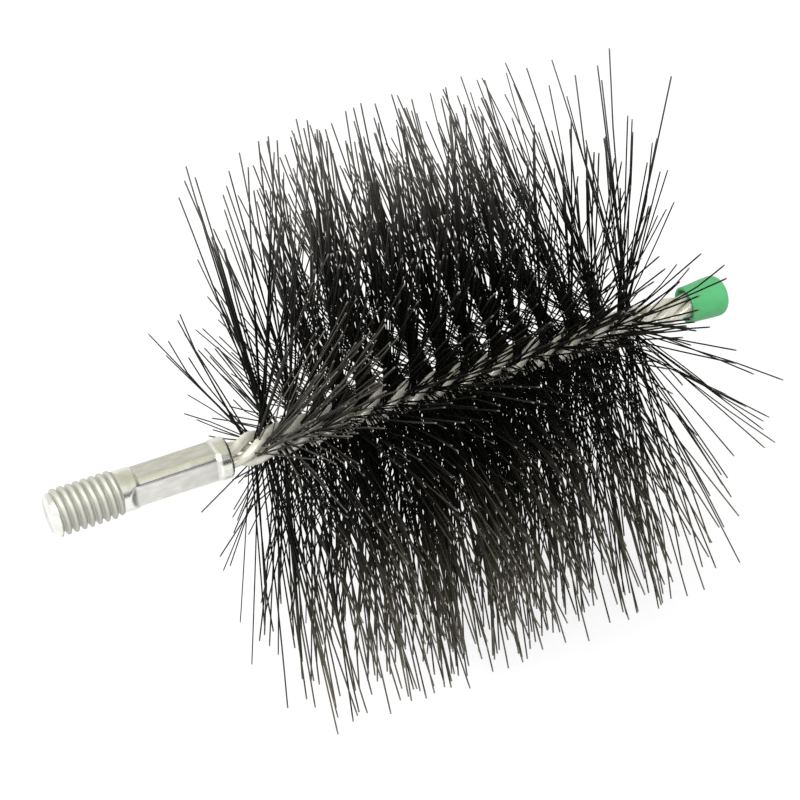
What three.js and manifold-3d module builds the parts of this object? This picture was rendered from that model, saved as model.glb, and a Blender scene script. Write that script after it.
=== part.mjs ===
// Chimney sweep brush: a screw-in steel fitting, a core of four twisted wires, four helical rows
// of spring-wire bristles and a plastic tip cap.
// Millimetres, +Z up. The origin is the centre of the threaded end face, and +X runs along the
// core to the cap. The brush lies at rest on the tips of its lowest bristles.
import * as THREE from 'three';
import { mergeVertices } from 'three/addons/utils/BufferGeometryUtils.js';
import Module from 'manifold-3d';

const wasm = await Module();
wasm.setup();

// Fits between neighbouring pieces, and how far a cutter runs past what it cuts
const FIT_CLEARANCE = 0.3;
const CUT_OVERRUN = 1;

// Screw-in fitting, turned and crimped from one steel bar
const THREAD_DIAMETER = 12.7;
const THREAD_LENGTH = 18.8;
const THREAD_CHAMFER = 1;
const SHOULDER_LENGTH = 0.6;
const SHANK_WALL = 1.8;
const NECK_LENGTH = 3.8;
const CRIMP_LENGTH = 24;
const SIDE_CRIMP_LEAD = 3.2;
const CRIMP_DEPTH = 1.12;
const CORNER_DEPTH = 0.3;
const CRIMP_RUNOUT = 1.6;
const SIDE_CRIMP_RUNOUT = 3.6;
const COLLAR_LENGTH = 3.2;
const COLLAR_EDGE = 0.4;
const BORE_WEB = 3;
const BORE_POINT = 2.4;

// Core of four wires, straight in the fitting and twisted left-handed beyond it, and pushed apart
// by the packed bristles
const WIRE_DIAMETER = 2.8;
const CORE_SWELL = 0.9;
const TWIST_DELAY = 0.6;
const TWIST_PITCH = 32;
const TWIST_EASE = 5.4;

// Four rows of bristles, each packed in the groove between two neighbouring wires
const BRUSH_DIAMETER = 160;
const BRUSH_LENGTH = 117;
const BARE_START = 7.3;
const BARE_END = 16.5;
const BRISTLE_DIAMETER = 0.5;
const BRISTLE_GAP = 0.74;
const PACK_DEPTH = 1.6;
const PACK_MARGIN = 0.4;
const ROOT_DEPTH = 0.45;
const ROOT_SPREAD = 0.12;
const TRIM_SPREAD = 37;
const FOOT_CUT = 0.5;

// Tip cap, pushed over the cut wire ends
const CAP_LENGTH = 12.8;
const CAP_WALL = 0.85;
const CAP_LEAD_IN = 0.5;
const CAP_LEAD_LENGTH = 4;
const CAP_END_WALL = 1.8;
const CAP_FLARE = 0.55;
const CAP_DOME = 3;
const CAP_LIP = 0.3;

// Counts and angles
const WIRE_COUNT = 4;
const WIRE_SIDES = 8;
const BRISTLE_SIDES = 3;
const STEPS_PER_TURN = 16;
const EASE_STEPS = 3;
const LEAST_STEP_SHARE = 0.4;
const ROUND_SEGMENTS = 48;
const DOME_STEPS = 7;
const DOME_FULLNESS = 0.7;
const FULL_TURN = 2 * Math.PI;
const ROW_TURN = FULL_TURN / WIRE_COUNT;
const DOWNWARD = -FULL_TURN / 4;

// How the bristles stand. They crowd towards the middle of the brush. At the fitting they tilt
// one way on one side of the core and back on the other, and towards the cap they all lean back
const THINNING_SHARE = 0.45;
const FAN_ANGLE = THREE.MathUtils.degToRad(2);
const LEAN_ANGLE = THREE.MathUtils.degToRad(1.5);
const SWEEP_ANGLE = THREE.MathUtils.degToRad(-6);
const SKEW_ANGLE = THREE.MathUtils.degToRad(8);
const SKEW_TURN = THREE.MathUtils.degToRad(47);
const SKEW_LOSS_SHARE = 0.75;
const TRIM_BIAS = 1.4;

// Steps of the even scatters that fan, lean and trim the bristles, as shares of their range
const FAN_STEP_SHARE = 0.618;
const LEAN_STEP_SHARE = 0.4142;
const TRIM_STEP_SHARE = 0.7321;

// Stations along the core
const shankStart = THREAD_LENGTH;
const crimpStart = shankStart + NECK_LENGTH;
const crimpEnd = crimpStart + CRIMP_LENGTH;
const fittingEnd = crimpEnd + COLLAR_LENGTH;
const boreEnd = shankStart + BORE_WEB;
const brushStart = fittingEnd + BARE_START;
const brushEnd = brushStart + BRUSH_LENGTH;
const capStart = brushEnd + BARE_END;
const capEnd = capStart + CAP_LENGTH;
const wireStart = boreEnd + FIT_CLEARANCE;
const wireEnd = capEnd - CAP_END_WALL - FIT_CLEARANCE;

// Twist of the core: none in the fitting, eased in over a short stretch, then steady
const twistRate = -FULL_TURN / TWIST_PITCH;
const twistStart = crimpEnd + TWIST_DELAY;
const twistSteady = twistStart + TWIST_EASE;

function twistRateAt(x) {
  return twistRate * THREE.MathUtils.clamp((x - twistStart) / TWIST_EASE, 0, 1);
}

function twistAt(x) {
  if (x <= twistStart) return 0;
  if (x >= twistSteady) return twistRate * (x - (twistStart + twistSteady) / 2);
  return twistRate * (x - twistStart) ** 2 / (2 * TWIST_EASE);
}

// The wires spread over the bare stretch before the bristles, and close again beyond them
function wireCentreAt(x) {
  const spreading = THREE.MathUtils.smoothstep(x, brushStart - BARE_START, brushStart);
  const closing = THREE.MathUtils.smoothstep(x, brushEnd, brushEnd + BARE_START);
  return wireCentreRadius + CORE_SWELL * (spreading - closing);
}

// Wires of a twisted core are oval across it, so they need more room than straight ones
const wireRadius = WIRE_DIAMETER / 2;
const layRadius = (WIRE_DIAMETER + FIT_CLEARANCE) / Math.SQRT2;
const laySpread = Math.hypot(1, layRadius * twistRate);
const wireDiagonal = WIRE_DIAMETER * Math.sqrt((1 + laySpread ** 2) / 2);
const wireCentreRadius = (wireDiagonal + FIT_CLEARANCE) / Math.SQRT2;
const wireOffset = wireCentreRadius / Math.SQRT2;
const coreRadius = wireCentreRadius + wireRadius;

// The same where the bristles push the wires apart
const packedCentreRadius = wireCentreRadius + CORE_SWELL;
const packedSpread = Math.hypot(1, packedCentreRadius * twistRate);
const packedOffset = packedCentreRadius / Math.SQRT2;
const packedRadius = packedCentreRadius + wireRadius;

// Bore of the fitting: round at its ends, pressed square round the wires where it is crimped
const threadRadius = THREAD_DIAMETER / 2;
const boreRadius = coreRadius + FIT_CLEARANCE;
const shankRadius = boreRadius + SHANK_WALL;
const boreFlat = wireOffset + wireRadius + FIT_CLEARANCE;
const shankFlat = shankRadius - CRIMP_DEPTH;

const brushRadius = BRUSH_DIAMETER / 2;
const floorHeight = FOOT_CUT - brushRadius;

// A three-sided bristle has the section area of a round strand of its diameter
const bristleCorner = BRISTLE_DIAMETER * Math.sqrt(Math.PI / (BRISTLE_SIDES * Math.sqrt(3)));
const bristleCount = Math.round(BRUSH_LENGTH / (BRISTLE_DIAMETER + BRISTLE_GAP));

// Solids and meshes

function toSolid(geometry) {
  const bare = geometry.clone();
  bare.deleteAttribute('normal');
  bare.deleteAttribute('uv');
  const merged = mergeVertices(bare);
  return new wasm.Manifold(new wasm.Mesh({
    numProp: 3,
    vertProperties: new Float32Array(merged.attributes.position.array),
    triVerts: new Uint32Array(merged.index.array),
  }));
}

function toGeometry(solid) {
  const mesh = solid.getMesh();
  const geometry = new THREE.BufferGeometry();
  geometry.setAttribute('position', new THREE.BufferAttribute(mesh.vertProperties, mesh.numProp));
  geometry.setIndex(new THREE.BufferAttribute(mesh.triVerts, 1));
  geometry.computeVertexNormals();
  return geometry;
}

// A profile of [radius, distance along the core] pairs, revolved round the core
function revolve(profile) {
  const points = profile.map(([radius, along]) => new THREE.Vector2(radius, along));
  return new THREE.LatheGeometry(points, ROUND_SEGMENTS).rotateZ(-FULL_TURN / 4);
}

// A closed body through rings of points [x, y, z], which run anticlockwise seen from the last ring
function closedBody(rings) {
  const sides = rings[0].length;
  const index = [];
  for (let j = 0; j + 1 < rings.length; j += 1) {
    for (let i = 0; i < sides; i += 1) {
      const a = j * sides + i;
      const b = j * sides + (i + 1) % sides;
      index.push(a, b, b + sides, a, b + sides, a + sides);
    }
  }
  const last = (rings.length - 1) * sides;
  for (let i = 1; i + 1 < sides; i += 1) {
    index.push(0, i + 1, i, last, last + i, last + i + 1);
  }
  const geometry = new THREE.BufferGeometry();
  geometry.setAttribute('position', new THREE.Float32BufferAttribute(rings.flat(2), 3));
  geometry.setIndex(index);
  geometry.computeVertexNormals();
  return geometry;
}

// The same through sections of points [y, z] that stand square to the core at its stations
function loft(stations, sectionAt) {
  return closedBody(stations.map((x) => sectionAt(x).map(([y, z]) => [x, y, z])));
}

// A point given outward from the core and sideways from a line at this angle, as [y, z]
function across(angle, outward, sideways) {
  return [
    outward * Math.cos(angle) - sideways * Math.sin(angle),
    outward * Math.sin(angle) + sideways * Math.cos(angle),
  ];
}

// Stations on one shared grid, so that wires and bristle packs turn in the same steps
function twistStations(from, to) {
  const step = TWIST_PITCH / STEPS_PER_TURN;
  const grid = [];
  for (let i = 0; i < EASE_STEPS; i += 1) grid.push(twistStart + TWIST_EASE * i / EASE_STEPS);
  for (let x = twistSteady; x < to; x += step) grid.push(x);
  const marks = [from, brushStart, brushEnd, to].filter((x) => x >= from && x <= to);
  const leastStep = LEAST_STEP_SHARE * step;
  const clear = grid.filter((x) => x > from && marks.every((mark) => Math.abs(mark - x) > leastStep));
  return [...new Set([...marks, ...clear])].sort((a, b) => a - b);
}

// Threaded fitting

function press(start, runout, flat, surface) {
  const outside = surface + CUT_OVERRUN;
  const side = new THREE.Shape();
  side.moveTo(start, surface);
  side.lineTo(start + runout, flat);
  side.lineTo(crimpEnd - CRIMP_RUNOUT, flat);
  side.lineTo(crimpEnd, surface);
  side.lineTo(crimpEnd, outside);
  side.lineTo(start, outside);
  const width = 2 * surface;
  const cutter = new THREE.ExtrudeGeometry(side, { depth: width, bevelEnabled: false });
  return cutter.translate(0, 0, -width / 2);
}

// The jaws at the two sides reach closer to the thread than those above and below, on longer ramps
function pressedFlats(flat, surface) {
  return [0, 1, 2, 3].map((quarter) => {
    const sideways = quarter % 2 === 0;
    const start = sideways ? crimpStart - SIDE_CRIMP_LEAD : crimpStart;
    const cutter = press(start, sideways ? SIDE_CRIMP_RUNOUT : CRIMP_RUNOUT, flat, surface);
    return toSolid(cutter.rotateX(quarter * FULL_TURN / 4));
  });
}

function fittingBlank() {
  return toSolid(revolve([
    [0, 0],
    [threadRadius - THREAD_CHAMFER, 0],
    [threadRadius, THREAD_CHAMFER],
    [threadRadius, shankStart - SHOULDER_LENGTH],
    [shankRadius, shankStart],
    [shankRadius, crimpStart],
    [shankRadius - CORNER_DEPTH, crimpStart + CRIMP_RUNOUT],
    [shankRadius - CORNER_DEPTH, crimpEnd - CRIMP_RUNOUT],
    [shankRadius, crimpEnd],
    [shankRadius, fittingEnd - COLLAR_EDGE],
    [shankRadius - COLLAR_EDGE, fittingEnd],
    [0, fittingEnd],
  ]));
}

function fittingBore() {
  const mouth = fittingEnd + CUT_OVERRUN;
  return toSolid(revolve([
    [0, boreEnd - BORE_POINT],
    [boreRadius, boreEnd],
    [boreRadius, mouth],
    [0, mouth],
  ]));
}

function threadedFitting() {
  let outside = fittingBlank();
  let bore = fittingBore();
  for (const cutter of pressedFlats(shankFlat, shankRadius)) outside = outside.subtract(cutter);
  for (const cutter of pressedFlats(boreFlat, boreRadius)) bore = bore.subtract(cutter);
  return toGeometry(outside.subtract(bore));
}

// Core wires

function wireSection(x, angle) {
  const centre = wireCentreAt(x);
  const halfWidth = wireRadius * Math.hypot(1, centre * twistRateAt(x));
  const ring = [];
  for (let i = 0; i < WIRE_SIDES; i += 1) {
    const turn = FULL_TURN * i / WIRE_SIDES;
    const outward = centre + wireRadius * Math.cos(turn);
    ring.push(across(angle, outward, halfWidth * Math.sin(turn)));
  }
  return ring;
}

function coreWire(row) {
  const angle = (row + 0.5) * ROW_TURN;
  return loft(twistStations(wireStart, wireEnd), (x) => wireSection(x, angle + twistAt(x)));
}

// Bristle rows

// Half the width that the two wires beside a groove leave free at this distance from the axis
function grooveHalfWidth(outward) {
  const reach = wireRadius * packedSpread + FIT_CLEARANCE;
  const past = Math.max(reach ** 2 - (outward - packedOffset) ** 2, 0);
  return packedOffset - Math.sqrt(past);
}

function packSection(angle) {
  const inner = packedRadius - PACK_DEPTH;
  const innerHalf = grooveHalfWidth(inner);
  const outerHalf = bristleCorner + ROOT_SPREAD + PACK_MARGIN;
  return [
    across(angle, inner, -innerHalf),
    across(angle, packedRadius, -outerHalf),
    across(angle, packedRadius, outerHalf),
    across(angle, inner, innerHalf),
  ];
}

function bristlePack(row) {
  const stations = twistStations(brushStart, brushEnd);
  return toSolid(loft(stations, (x) => packSection(row * ROW_TURN + twistAt(x))));
}

// An even scatter from -1 to 1 that never repeats along a row
function scatter(row, place, stepShare) {
  const value = (place + 1) * stepShare + row * Math.SQRT1_2;
  return 2 * (value - Math.floor(value)) - 1;
}

// Most bristles are nearly as long as the brush allows, and a few are much shorter. Those that
// point straight down carry the brush, so they are left at full length
function bristleReach(angle, trimShare) {
  const underneath = brushRadius * Math.cos(angle - DOWNWARD) > -floorHeight;
  return underneath ? brushRadius : brushRadius - TRIM_SPREAD * trimShare ** TRIM_BIAS;
}

function bristle(row, place) {
  const share = (place + 0.5) / bristleCount;
  const crowding = THINNING_SHARE * Math.sin(FULL_TURN * share) / FULL_TURN;
  const x = brushStart + BRUSH_LENGTH * (share + crowding);
  const fanShare = scatter(row, place, FAN_STEP_SHARE);
  const leanShare = scatter(row, place, LEAN_STEP_SHARE);
  const trimShare = (scatter(row, place, TRIM_STEP_SHARE) + 1) / 2;
  const groove = row * ROW_TURN + twistAt(x);
  const angle = groove + FAN_ANGLE * fanShare;
  const skew = SKEW_ANGLE * (1 - SKEW_LOSS_SHARE * share) * Math.cos(groove - SKEW_TURN);
  const lean = Math.tan(SWEEP_ANGLE * share + skew + LEAN_ANGLE * leanShare);
  const rootRadius = packedRadius - ROOT_DEPTH;
  const reach = bristleReach(angle, trimShare);
  const ends = [rootRadius, reach].map((outward) => {
    const ring = [];
    for (let i = 0; i < BRISTLE_SIDES; i += 1) {
      const turn = FULL_TURN * i / BRISTLE_SIDES;
      const along = x + lean * (outward - rootRadius) + bristleCorner * Math.sin(turn);
      const sideways = ROOT_SPREAD * leanShare + bristleCorner * Math.cos(turn);
      ring.push([along, ...across(angle, outward, sideways)]);
    }
    return ring;
  });
  return closedBody(ends);
}

function underTheFloor() {
  const box = new THREE.BoxGeometry(2 * capEnd, 2 * BRUSH_DIAMETER, brushRadius);
  return toSolid(box.translate(0, 0, floorHeight - brushRadius / 2));
}

function bristleRow(row) {
  let solid = bristlePack(row);
  for (let place = 0; place < bristleCount; place += 1) {
    solid = solid.add(toSolid(bristle(row, place)));
  }
  return toGeometry(solid.subtract(underTheFloor()));
}

// Tip cap

function tipCap() {
  const boreOfCap = coreRadius + FIT_CLEARANCE;
  const mouthRadius = boreOfCap + CAP_LEAD_IN + CAP_WALL;
  const widestRadius = mouthRadius + CAP_FLARE;
  const cavityEnd = capEnd - CAP_END_WALL;
  const domeStart = capEnd - CAP_DOME;
  const profile = [
    [0, cavityEnd],
    [boreOfCap, cavityEnd],
    [boreOfCap, capStart + CAP_LEAD_LENGTH],
    [boreOfCap + CAP_LEAD_IN, capStart],
    [mouthRadius - CAP_LIP, capStart],
    [mouthRadius, capStart + CAP_LIP],
  ];
  for (let i = 0; i < DOME_STEPS; i += 1) {
    const turn = FULL_TURN / 4 * i / DOME_STEPS;
    profile.push([widestRadius * Math.cos(turn) ** DOME_FULLNESS, domeStart + CAP_DOME * Math.sin(turn)]);
  }
  profile.push([0, capEnd]);
  return revolve(profile);
}

// Materials and assembly

const zincPlatedSteel = { color: 0xd6d8d4, roughness: 0.35, metalness: 1 };
const galvanisedWire = { color: 0xbebbaa, roughness: 0.4, metalness: 1 };
const darkSpringSteel = { color: 0x2b2823, roughness: 0.5, metalness: 0.9 };
const greenPlastic = { color: 0x55c378, roughness: 0.45, metalness: 0 };

function piece(name, geometry, finish) {
  const mesh = new THREE.Mesh(geometry, new THREE.MeshStandardMaterial(finish));
  mesh.name = name;
  return mesh;
}

const brush = new THREE.Group();
brush.add(piece('threaded_fitting', threadedFitting(), zincPlatedSteel));
for (let row = 0; row < WIRE_COUNT; row += 1) {
  brush.add(piece(`core_wire_${row + 1}`, coreWire(row), galvanisedWire));
}
for (let row = 0; row < WIRE_COUNT; row += 1) {
  brush.add(piece(`bristle_row_${row + 1}`, bristleRow(row), darkSpringSteel));
}
brush.add(piece('tip_cap', tipCap(), greenPlastic));

export default brush;
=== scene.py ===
# %% [markdown]
# # A chimney sweep brush
# This lesson dresses a wire flue brush: a zinc-plated rod fitting with a real screw thread, a core of
# four twisted galvanised wires, some two thousand dark spring-wire bristles and a green tip cap.
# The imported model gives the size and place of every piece, so each step only makes a piece look
# real where that model already has it.

# %% Load the frame
import math

import bmesh
import bpy
from mathutils import Matrix, Vector


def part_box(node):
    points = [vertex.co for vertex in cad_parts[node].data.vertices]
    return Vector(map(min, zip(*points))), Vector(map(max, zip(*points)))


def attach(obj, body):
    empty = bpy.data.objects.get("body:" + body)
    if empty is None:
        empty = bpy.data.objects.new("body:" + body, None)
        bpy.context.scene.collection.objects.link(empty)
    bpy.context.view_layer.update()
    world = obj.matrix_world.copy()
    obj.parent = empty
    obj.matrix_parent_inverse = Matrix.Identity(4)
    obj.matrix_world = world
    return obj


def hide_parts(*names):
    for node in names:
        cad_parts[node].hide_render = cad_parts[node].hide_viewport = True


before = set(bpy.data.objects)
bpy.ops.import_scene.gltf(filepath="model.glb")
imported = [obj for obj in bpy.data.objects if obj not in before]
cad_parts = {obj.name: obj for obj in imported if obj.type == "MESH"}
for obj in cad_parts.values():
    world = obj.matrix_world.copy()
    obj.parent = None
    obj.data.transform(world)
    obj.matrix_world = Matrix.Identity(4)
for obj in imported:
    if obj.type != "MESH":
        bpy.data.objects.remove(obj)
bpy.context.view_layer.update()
BODY = "root"
ROWS = 4
print("nodes:", sorted(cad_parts))

# %% [markdown]
# ## Sizes
# Blender works in metres, and a brush is easier to think of in millimetres, so one value turns the
# one into the other. Whatever the frame already knows, such as where the fitting ends, is read from
# it. Only what it can't say, such as the pitch of a twist, is named here.

# %% Read the sizes
MM = 0.001
FULL_TURN = 2 * math.pi
QUARTER = FULL_TURN / 4

fitting_low, fitting_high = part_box("threaded_fitting")
wire_low, wire_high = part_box("core_wire_1")
cap_low, cap_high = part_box("tip_cap")
thread_radius = fitting_high.z
fitting_end = fitting_high.x
floor_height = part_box("bristle_row_1")[0].z
print("fitting %.1f mm long, stud %.1f mm across" % (fitting_end / MM, 2 * thread_radius / MM))

# %% [markdown]
# ## The camera
# The photograph looks down on the brush from the side of its thread, with the core rising to the
# right. The camera stands some 65 cm away with a long lens, so the far end is hardly smaller than
# the near one. It is aimed near the core, rolled a little, and then swung round the core until the
# two flats in view are as wide as they should be.

# %% Place the camera
IMAGE_SIZE = 800
FOCAL_PIXELS = 2400
SENSOR_WIDTH = 36
NEAREST_SEEN = 10 * MM
CAMERA_PLACE = Vector((-120.8, -447.6, 412.4)) * MM
CAMERA_AIM = Vector((100.6, 0, -0.2)) * MM
CAMERA_ROLL = math.radians(-0.8)
CAMERA_SWING = math.radians(6.5)


def place_camera():
    """Aims a long lens at the middle of the core."""
    data = bpy.data.cameras.new("photo_camera")
    data.sensor_width = SENSOR_WIDTH
    data.lens = SENSOR_WIDTH * FOCAL_PIXELS / IMAGE_SIZE
    data.clip_start = NEAREST_SEEN
    camera = bpy.data.objects.new("photo_camera", data)
    aim = (CAMERA_AIM - CAMERA_PLACE).to_track_quat("-Z", "Y").to_matrix().to_4x4()
    rolled = aim @ Matrix.Rotation(CAMERA_ROLL, 4, "Z")
    swing = Matrix.Rotation(CAMERA_SWING, 4, "X")
    camera.matrix_world = swing @ Matrix.Translation(CAMERA_PLACE) @ rolled
    bpy.context.scene.collection.objects.link(camera)
    bpy.context.scene.camera = camera
    return camera


camera = place_camera()
print("lens: %.0f mm" % camera.data.lens)

# %% [markdown]
# ## Helpers for meshes
# Each finished piece is one plain mesh whose object sits at the origin, and every piece of this
# brush rides on the same body. One helper makes such an object, and another puts it on that body
# and hides the solid that it stands for.

# %% Mesh helpers


def mesh_object(name, vertices, faces):
    """A new object at the origin from points and faces."""
    mesh = bpy.data.meshes.new(name)
    mesh.from_pydata(vertices, [], faces)
    mesh.update()
    made = bpy.data.objects.new(name, mesh)
    bpy.context.scene.collection.objects.link(made)
    return made


def hand_over(made, node):
    """Puts a piece on its body, hides the solid that it replaces and prints its triangles."""
    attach(made, BODY)
    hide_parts(node)
    made.data.calc_loop_triangles()
    print(made.name, len(made.data.loop_triangles), "triangles")


# %% [markdown]
# ## Helpers for node trees
# Materials and geometry are both built as node trees. A short helper adds a node, sets its options
# and fills its inputs, so that a tree reads as a list of steps. A value that is another node's
# output is linked, and any other value is typed into the socket.

# %% Node helpers


def fill(tree, node, inputs):
    """Links or types a value into each input named in a dictionary."""
    for socket, value in inputs.items():
        if isinstance(value, bpy.types.NodeSocket):
            tree.links.new(value, node.inputs[socket])
        else:
            node.inputs[socket].default_value = value


def add_node(tree, kind, inputs=None, **options):
    """Adds a node, sets its options and fills its inputs."""
    node = tree.nodes.new(kind)
    for option, value in options.items():
        setattr(node, option, value)
    fill(tree, node, inputs or {})
    return node


def step(tree, kind, inputs=None, **options):
    """Adds a node and gives its first output, which is all that most steps need."""
    return add_node(tree, kind, inputs, **options).outputs[0]


def ramp_between(tree, value, start, end):
    """An eased rise from 0 at the start to 1 at the end."""
    inputs = {"Value": value, "From Min": start, "From Max": end}
    return step(tree, "ShaderNodeMapRange", inputs, interpolation_type="SMOOTHSTEP")


# %% [markdown]
# Arithmetic on numbers needs one node for every operation. The helpers differ in nothing but the
# operation, so one function makes them all.

# %% Arithmetic helpers


def arithmetic(operation):
    """A helper that adds one step of arithmetic on numbers."""

    def helper(tree, *terms):
        return step(tree, "ShaderNodeMath", dict(enumerate(terms)), operation=operation)

    return helper


plus = arithmetic("ADD")
minus = arithmetic("SUBTRACT")
times = arithmetic("MULTIPLY")
times_plus = arithmetic("MULTIPLY_ADD")
over = arithmetic("DIVIDE")
power = arithmetic("POWER")
larger = arithmetic("MAXIMUM")
smaller = arithmetic("MINIMUM")
whole_part = arithmetic("FLOOR")
absolute = arithmetic("ABSOLUTE")
sine = arithmetic("SINE")
cosine = arithmetic("COSINE")
tangent = arithmetic("TANGENT")

# %% [markdown]
# Points and directions are vectors, and they need a few steps of their own.

# %% Vector helpers


def combine(tree, operation, first, second):
    """One step of arithmetic on vectors. A scale takes its factor from the fourth input."""
    place = 3 if operation == "SCALE" else 1
    return step(tree, "ShaderNodeVectorMath", {0: first, place: second}, operation=operation)


def unit(tree, vector):
    """The same direction, one metre long."""
    return step(tree, "ShaderNodeVectorMath", {0: vector}, operation="NORMALIZE")


def reach_along(tree, vector, axis):
    """How far a vector reaches along an axis."""
    node = add_node(tree, "ShaderNodeVectorMath", {0: vector, 1: axis}, operation="DOT_PRODUCT")
    return node.outputs["Value"]


def arrow(tree, x, y, z):
    """A vector from three numbers."""
    return step(tree, "ShaderNodeCombineXYZ", {0: x, 1: y, 2: z})


def part_of(tree, vector, axis):
    """One of a vector's three numbers."""
    return add_node(tree, "ShaderNodeSeparateXYZ", {0: vector}).outputs[axis]


# %% [markdown]
# ## Helpers for materials
# Every finish here is a Principled shader whose plain values sit on the shader's own sockets. What
# varies over the surface, such as tone and roughness, comes from noise on Object coordinates, which
# stay still when the view moves.

# %% Material helpers


def new_finish(name):
    """A material, its tree and its Principled shader."""
    material = bpy.data.materials.new(name)
    material.use_nodes = True
    return material, material.node_tree, material.node_tree.nodes["Principled BSDF"]


def object_place(tree):
    """Where a point lies on its object, which here is also its place on the brush."""
    return add_node(tree, "ShaderNodeTexCoord").outputs["Object"]


def object_noise(tree, scale, detail=3.0, stretch=(1, 1, 1)):
    """Noise in object space, drawn out along an axis by a stretch."""
    mapped = step(tree, "ShaderNodeMapping", {"Vector": object_place(tree), "Scale": stretch})
    return step(tree, "ShaderNodeTexNoise", {"Vector": mapped, "Scale": scale, "Detail": detail})


def attribute(tree, name):
    """A number that the mesh carries, such as how far along a strand a point lies."""
    return add_node(tree, "ShaderNodeAttribute", attribute_name=name).outputs["Fac"]


def rescale(tree, factor, low, high):
    """A number from 0 to 1 spread over another range."""
    return step(tree, "ShaderNodeMapRange", {"Value": factor, "To Min": low, "To Max": high})


def blend_colours(tree, factor, low, high, start=0.3, end=0.7):
    """A ramp between two colours."""
    ramp = add_node(tree, "ShaderNodeValToRGB", {"Fac": factor})
    for element, place, colour in zip(ramp.color_ramp.elements, (start, end), (low, high)):
        element.position = place
        element.color = colour
    return ramp.outputs["Color"]


def coat(tree, factor, under, upper):
    """One colour laid over another. The factor says how much of it covers."""
    inputs = {"Factor": factor, 6: under, 7: upper}
    return add_node(tree, "ShaderNodeMix", inputs, data_type="RGBA").outputs[2]


def bump(tree, shader, height, distance, strength):
    """Small relief from a number."""
    inputs = {"Height": height, "Distance": distance, "Strength": strength}
    fill(tree, shader, {"Normal": step(tree, "ShaderNodeBump", inputs)})


# %% [markdown]
# ## Zinc plating
# The fitting is bright zinc over turned steel: a pale, slightly warm metal with fine rings from the
# lathe. Its four flats are pressed, so they are greyer, rougher and streaked along their length. The
# cut thread is duller and shows less of its surroundings, and a thin dark line of painted shade runs
# along one edge of each flat. A painted mask could hold all this, but the mesh knows where it was
# pressed and cut and where the painted shade lies, so it carries that as attributes, and the finish
# blends from look to look there.

# %% Zinc plating
ZINC_DARK = (0.72, 0.73, 0.67, 1)
ZINC_LIGHT = (0.88, 0.89, 0.83, 1)
PRESSED_DARK = (0.60, 0.60, 0.56, 1)
PRESSED_LIGHT = (0.76, 0.76, 0.72, 1)
THREAD_GREY = (0.57, 0.575, 0.525, 1)
# Painted shade: the colour of a thin dark line along one edge of each flat.
PAINTED_EDGE_SHADE = (0.22, 0.22, 0.30, 1)
ZINC_ROUGHNESS = (0.16, 0.28)
PRESSED_ROUGHER = 0.16
THREAD_ROUGHER = 0.32
THREAD_METALLIC = 0.5
LATHE_RELIEF = 0.02 * MM


def zinc_plating():
    """Bright plating, greyer and rougher where the mesh says it was pressed or threaded."""
    material, tree, shader = new_finish("zinc_plating")
    pressed = attribute(tree, "pressed")
    threaded = attribute(tree, "threaded")
    cloud = object_noise(tree, scale=260, detail=4)
    colour = blend_colours(tree, cloud, ZINC_DARK, ZINC_LIGHT)
    colour = coat(tree, threaded, colour, THREAD_GREY)
    streaks = object_noise(tree, scale=700, detail=5, stretch=(0.4, 1, 1))
    colour = coat(tree, pressed, colour, blend_colours(tree, streaks, PRESSED_DARK, PRESSED_LIGHT))
    # Painted shade: a thin dark line along one edge of each flat.
    colour = coat(tree, attribute(tree, "edge_shade"), colour, PAINTED_EDGE_SHADE)
    rough = times_plus(tree, pressed, PRESSED_ROUGHER, rescale(tree, cloud, *ZINC_ROUGHNESS))
    fill(tree, shader, {
        "Base Color": colour,
        "Metallic": rescale(tree, threaded, 1.0, THREAD_METALLIC),
        "Roughness": times_plus(tree, threaded, THREAD_ROUGHER, rough),
    })
    rings = object_noise(tree, scale=900, detail=1, stretch=(1, 0.02, 0.02))
    bump(tree, shader, rings, LATHE_RELIEF, strength=0.6)
    return material


zinc = zinc_plating()
print("made", zinc.name)

# %% [markdown]
# ## Galvanised wire
# The four core wires are drawn and galvanised: a creamy silver, smooth, with faint clouds in its tone
# and its gloss. The zinc is dull with age, so most of its colour comes from the surface itself and
# not from what it mirrors, which is why the Metallic value is low. One function makes this finish
# and that of the cap below from a scale and a detail for each of three noises.

# %% Galvanised wire
SKIN_RELIEF = 0.03 * MM


def clouded_finish(name, metallic, colours, roughness, clouds, gloss, grain):
    """A smooth finish whose colour, gloss and relief vary a little."""
    material, tree, shader = new_finish(name)
    fill(tree, shader, {
        "Base Color": blend_colours(tree, object_noise(tree, *clouds), *colours),
        "Metallic": metallic,
        "Roughness": rescale(tree, object_noise(tree, *gloss), *roughness),
    })
    bump(tree, shader, object_noise(tree, *grain), SKIN_RELIEF, strength=0.5)
    return material


galvanised = clouded_finish(
    "galvanised_wire",
    metallic=0.25,
    colours=((0.75, 0.74, 0.65, 1), (0.94, 0.93, 0.83, 1)),
    roughness=(0.24, 0.44),
    clouds=(420, 5),
    gloss=(900, 3),
    grain=(1500, 3),
)
print("made", galvanised.name)

# %% [markdown]
# ## Green plastic
# The cap is moulded in a soft mid green with a satin skin, which has the fine unevenness of a dipped
# or moulded surface. Its wall is thick enough to hide what is inside, so a plain surface will do.

# %% Green plastic
green = clouded_finish(
    "green_plastic",
    metallic=0.0,
    colours=((0.115, 0.61, 0.225, 1), (0.15, 0.69, 0.29, 1)),
    roughness=(0.36, 0.5),
    clouds=(180, 3),
    gloss=(600, 3),
    grain=(1200, 2),
)
print("made", green.name)
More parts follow.
